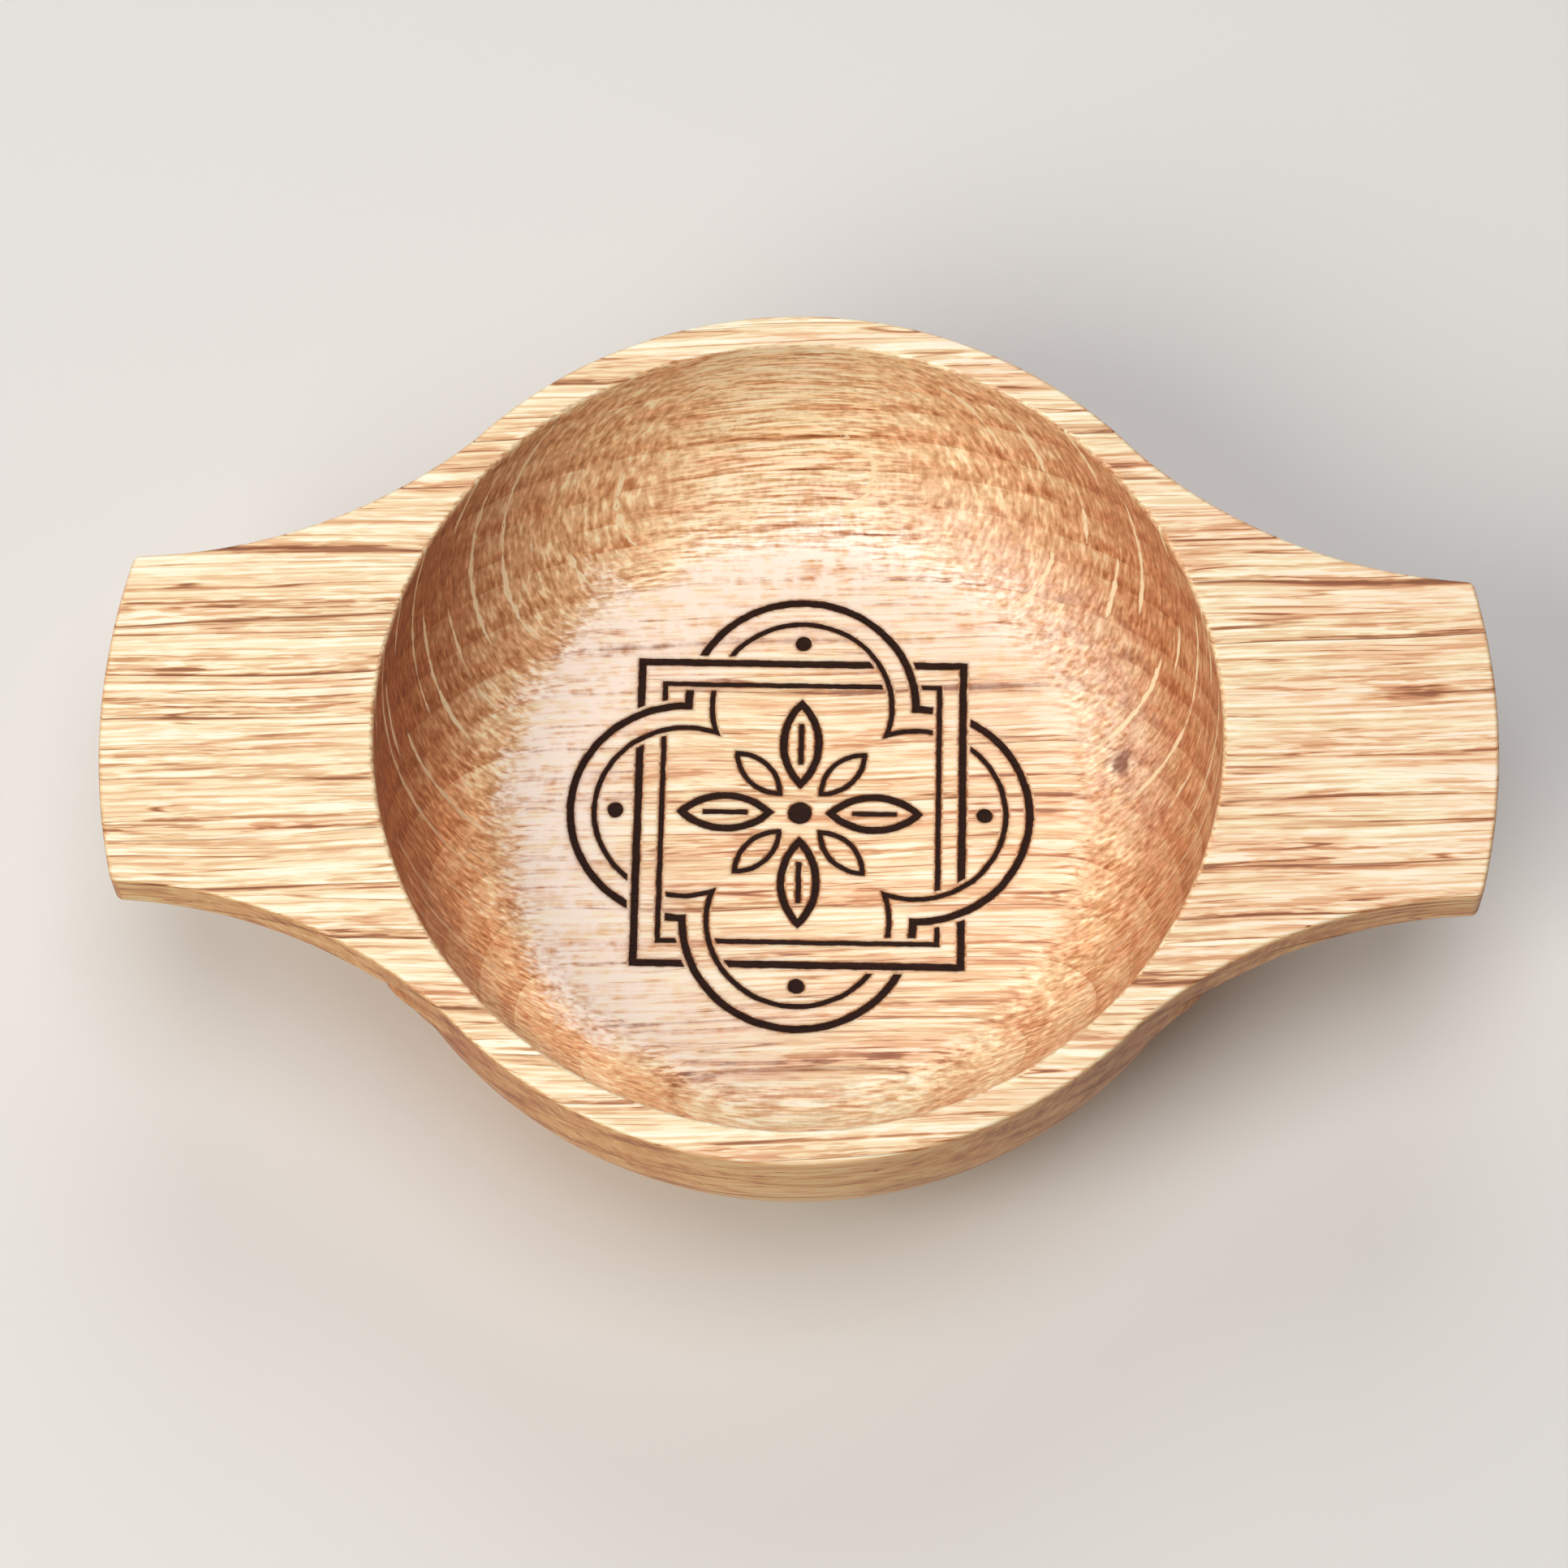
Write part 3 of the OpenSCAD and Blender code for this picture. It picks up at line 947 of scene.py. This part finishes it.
    def add_painted_sheen(self):
        """Painted sheen: a pale reflection of the sky laid where the floor lifts into the wall, on the
        left and towards the back right, with an edge that follows the fibres.
        """
        edge = self.out - self.cloud(9, detail=3.0) * 14 - self.dashes * 9 - self.flecks * 6
        leftward = self.dot(self.place, (-0.87, 0.5, 0.0))
        rightward = self.dot(self.place, (0.6, 0.8, 0.0))
        painted_sheen = edge.smooth(41, 36) * edge.smooth(15, 31, 0.03, 1.0)
        painted_sheen = painted_sheen * leftward.smooth(-28.8, 18, 0.05, 0.9)
        sheen = self.out.smooth(49, 40) * self.out.smooth(30, 38, 0.0, 0.4)
        painted_sheen = painted_sheen + sheen * rightward.smooth(14, 36)
        broken = self.ragged * 2.6 + self.dashes * 2.0 + 0.8
        painted_sheen = painted_sheen * self.z.smooth(10.6, 11.2)
        self.painted_sheen = self.math("MULTIPLY", painted_sheen, self.math("MINIMUM", broken, 1.1), clamp=True)
        # Painted sheen: the reflection of the sky is laid on the wood as a pale colour
        self.lay(self.painted_sheen, self.look.painted_sheen_colour)

    def add_grit(self):
        """Painted light brightens the front-left heel, and all the lifted wood is gritty with cut fibres.
        """
        heel = self.out.smooth(37, 42) * self.out.smooth(48, 44)
        front_left = self.x.smooth(-5, -24) * self.y.smooth(15, -5)
        # Painted light: the ring of the front-left heel is made brighter, as if more light fell there
        self.colour = self.mix(heel * front_left, self.colour, HEEL_PAINTED_LIGHT, "MULTIPLY")
        grit = self.dashes * 2.2 * (1.0 - self.speckled) + self.flecks * 0.9 * self.speckled
        grit = (grit + self.cloud(0.8) * 0.8) * self.lifting * self.y.smooth(-45, -25, 0.5, 1.0)
        self.tint(self.math("MULTIPLY", grit, -1.8, clamp=True), self.look.grit)
        lighter = self.math("MINIMUM", self.math("MAXIMUM", grit, 0.0), 0.15)
        self.colour = self.mix(1.0, self.colour, lighter + 1.0, "MULTIPLY")

    def add_rays(self):
        """Broad rays: thin sheets, each with its own place, that swell and fade along their length."""
        step = self.look.ray_gap / MM
        phase = self.across / step
        sheet = self.math("FLOOR", phase)
        shift = self.value("ShaderNodeTexWhiteNoise", {"W": sheet}, noise_dimensions="1D")
        gap = abs(self.math("FRACT", phase) - (shift * 0.6 + 0.2)) * step
        gap = abs(gap + self.ragged * 0.8)

        # A face that cuts a ray at a low angle shows it no wider
        facing = self.dot(self.normal, self.ray_normal)
        gap = gap / self.math("SQRT", 1.02 - facing * facing)
        cell = self.combine(self.along / 18, self.radial / 14, sheet * 7.31)
        shows = self.noise(cell, detail=0.0).smooth(0.44, 0.60)
        reach = (shows * 0.75 + 0.25) * (self.look.ray_w / MM)
        ray = (gap / reach).smooth(1.3, 0.5) * shows.smooth(0.0, 0.5)
        ray = ray * (self.wall * 0.9 + 0.1) * self.y.smooth(-14, 12, 0.25, 1.0)
        self.lay(ray, self.look.ray)

    def add_marks(self):
        """Open pores along the rings, a small dark pin knot, and wood browned beside the burnt lines."""
        fainter = (0.8 - self.lifting * 0.6) * (1.0 - self.painted_sheen * 0.8) * (1.0 - self.inside * 0.4)
        self.pores = self.pores * fainter
        self.lay(self.pores, self.look.pore_dark)
        gap = self.vector("DISTANCE", self.place, PIN_KNOT)
        gap = gap + self.ragged * 3.0 + self.flecks * 2.0
        self.lay(gap.smooth(0.5, 2.6, 0.85, 0.0), self.look.knot)
        uneven = self.dashes * 1.2 + 0.55
        self.lay(self.math("MULTIPLY", self.painted("scorch"), uneven, clamp=True), self.look.scorch)


def oak_material(look):
    """Oiled oak, with its fibres and the rings that the lathe left as fine relief."""
    material, wood, shader = new_material("oiled_oak", OakBench)
    wood.grow(look)
    lathe = wood.noise(wood.combine(wood.out * 1.6, wood.z * 1.6, 0.0), detail=1.0)
    height = wood.dashes * 0.6 + (lathe - 0.5) * 0.25
    roughness = wood.dashes * 0.2 + wood.pores * 0.2 + wood.end_cut_and_shade * 0.06 - wood.wear * 0.06
    wood.surface(shader, wood.colour, roughness + look.roughness, height, bump=0.4, depth=0.1 * MM)
    shader.inputs["IOR"].default_value = 1.48
    return material


def char_material(look):
    """Crumbly char, browner where it thins out at the edge of a line."""
    material, bench, shader = new_material("burnt_char")
    place = bench.scale(bench.node("ShaderNodeTexCoord").outputs["Object"], 1 / MM)
    crumbs = bench.noise(bench.scale(place, 4.0), detail=4.0, roughness=0.65)
    streaks = bench.noise(bench.vector("MULTIPLY", place, (0.35, 3.5, 3.5)))
    thin = bench.painted("edge_gap").smooth(0.0, look.soft, 0.45, 0.0)
    colour = bench.ramp(crumbs * (streaks + 0.3) + thin, [(0.2, look.black), (0.85, look.brown)])
    bench.surface(shader, colour, crumbs * 0.3 + 0.6, crumbs, bump=0.7, depth=0.08 * MM)
    shader.inputs["Specular IOR Level"].default_value = 0.15
    return material


def floor_material(look):
    """Plain pale floor."""
    material, _, shader = new_material("pale_floor")
    shader.inputs["Base Color"].default_value = (*linear(look.floor), 1)
    shader.inputs["Roughness"].default_value = 0.8
    return material


# Operators

class QUAICH_OT_cup(bpy.types.Operator):
    """Build the turned and sawn oak cup"""

    bl_idname = "quaich.cup"
    bl_label = "Oak Cup"

    def execute(self, context):
        sizes, look = context.scene.quaich_sizes, context.scene.quaich_char
        outline = sawn_outline(sizes)
        reach = np.hypot(*outline.T)
        inward = inward_normals(outline)
        lug_start = 0.05 * MM
        lug_share = smooth_step(reach, sizes.rim_r + lug_start, sizes.rim_r + 2 * sizes.cove_r)
        edge = raised(outline, 0.0)
        outline_values = {"edge": edge, "inward": raised(inward, 0.0), "lug_share": lug_share}
        section = cup_section(sizes)
        rim, lug = np.array(section.rim), np.array(section.lug)
        section_values = {
            "rim_ring": rim[:, :3],
            "rim_height": rim[:, 3],
            "lug_ring": lug[:, :3],
            "lug_height": lug[:, 3],
            "wear": section.wear,
        }
        meshes = (
            mesh_of("outline_points", edge, [], outline_values),
            mesh_of("section_points", np.zeros((len(rim), 3)), [], section_values),
        )
        holders = [add_object(context, mesh.name, mesh) for mesh in meshes]

        loops = [loop for node in BURNT_PIECES for loop in burnt_edges(node, look)]
        angles = np.arctan2(outline[:, 1], outline[:, 0])
        floor = bowl_floor(sizes, look, angles, loops)
        values = {
            "Outline": holders[0],
            "Section": holders[1],
            "Merge Distance": MERGE,
            "Material": oak_material(context.scene.quaich_oak),
        }
        cup = grow(context, "cup", floor, sweep_tree(), values)
        for holder in holders:
            bpy.data.objects.remove(holder)
        face_outwards(cup.data)
        seat(cup, "oak_cup")
        return {"FINISHED"}


class QUAICH_OT_burnt_lines(bpy.types.Operator):
    """Build the burnt lines in the grooves of the floor"""

    bl_idname = "quaich.burnt_lines"
    bl_label = "Burnt Lines"

    def execute(self, context):
        sizes, look = context.scene.quaich_sizes, context.scene.quaich_char
        tree = crust_tree()
        values = {
            "Hollow": look.hollow,
            "Softness": look.soft,
            "Crust": look.crust,
            "Crumb": look.crust_size,
            "Material": char_material(look),
        }
        for node, name in BURNT_PIECES.items():
            bed = char_bed(sizes, look, burnt_edges(node, look), name + "_bed")
            piece = grow(context, name, bed, tree, values)
            seat(piece, node)
        return {"FINISHED"}


class QUAICH_OT_stage(bpy.types.Operator):
    """Build the camera, lights and floor"""

    bl_idname = "quaich.stage"
    bl_label = "Stage"

    def execute(self, context):
        context.scene.view_settings.view_transform = "Standard"
        stage = context.scene.quaich_stage
        self.add_floor(context, stage)
        self.add_light(context, stage)
        self.add_camera(context, stage)
        return {"FINISHED"}

    def add_floor(self, context, stage):
        corners = [(x * FLOOR_HALF, y * FLOOR_HALF, 0) for x, y in ((-1, -1), (1, -1), (1, 1), (-1, 1))]
        mesh = bpy.data.meshes.new("floor")
        mesh.from_pydata(corners, [], [(0, 1, 2, 3)])
        mesh.materials.append(floor_material(stage))
        floor = add_object(context, "floor", mesh)

    def add_light(self, context, stage):
        world = bpy.data.worlds.new("soft_sky")
        world.use_nodes = True
        sky = world.node_tree.nodes["Background"]
        sky.inputs["Color"].default_value = (*linear(stage.sky), 1)
        sky.inputs["Strength"].default_value = stage.sky_level
        context.scene.world = world
        for name, (colour, power, width, place) in LAMPS.items():
            lamp = bpy.data.lights.new(name, "AREA")
            lamp.shape = "DISK"
            lamp.size = width
            lamp.energy = getattr(stage, power)
            lamp.color = linear(getattr(stage, colour))
            holder = add_object(context, name, lamp)
            holder.location = place
            holder.rotation_euler = (-holder.location).to_track_quat("-Z", "Y").to_euler()

    def add_camera(self, context, stage):
        rise, swing, roll = stage.elevation, stage.azimuth, stage.roll
        reach = math.cos(rise)
        back = Vector((math.sin(swing) * reach, -math.cos(swing) * reach, math.sin(rise)))
        level = Vector((math.cos(swing), math.sin(swing), 0))
        upright = back.cross(level)
        right = math.cos(roll) * level + math.sin(roll) * upright
        up = back.cross(right)
        rim = Vector((0, 0, context.scene.quaich_sizes.cup_h))
        metres_per_px = MM / stage.px_per_mm
        off_right = (stage.rim_across - stage.image_side / 2) * metres_per_px
        off_up = (stage.image_side / 2 - stage.rim_down) * metres_per_px
        place = rim + stage.distance * back - off_right * right - off_up * up
        lens = bpy.data.cameras.new("camera")
        lens.sensor_width = 36
        lens.lens = lens.sensor_width * stage.distance / (stage.image_side * metres_per_px)
        lens.clip_start = 0.01
        camera = add_object(context, "camera", lens)
        camera.matrix_world = Matrix.Translation(place) @ Matrix((right, up, back)).transposed().to_4x4()
        context.scene.camera = camera


class QUAICH_PT_panel(bpy.types.Panel):
    """Lists the pieces of the quaich"""

    bl_label = "Quaich"
    bl_space_type = "VIEW_3D"
    bl_region_type = "UI"
    bl_category = "Quaich"

    def draw(self, context):
        for operator in OPERATORS:
            self.layout.operator(operator.bl_idname)
        for name in SETTINGS:
            group = getattr(context.scene, name)
            box = self.layout.box()
            for label in group.bl_rna.properties.keys():
                if label not in ("name", "rna_type"):
                    box.prop(group, label)


OPERATORS = (QUAICH_OT_cup, QUAICH_OT_burnt_lines, QUAICH_OT_stage)
SETTINGS = {
    "quaich_sizes": QuaichSizes,
    "quaich_oak": QuaichOak,
    "quaich_char": QuaichChar,
    "quaich_stage": QuaichStage,
}
CLASSES = (*SETTINGS.values(), *OPERATORS, QUAICH_PT_panel)


def register():
    for cls in CLASSES:
        bpy.utils.register_class(cls)
    for name, cls in SETTINGS.items():
        setattr(bpy.types.Scene, name, bpy.props.PointerProperty(type=cls))


def unregister():
    for name in SETTINGS:
        delattr(bpy.types.Scene, name)
    for cls in reversed(CLASSES):
        bpy.utils.unregister_class(cls)


def main():
    register()
    bpy.ops.quaich.stage()
    bpy.ops.quaich.cup()
    bpy.ops.quaich.burnt_lines()


if __name__ == "__main__":
    main()
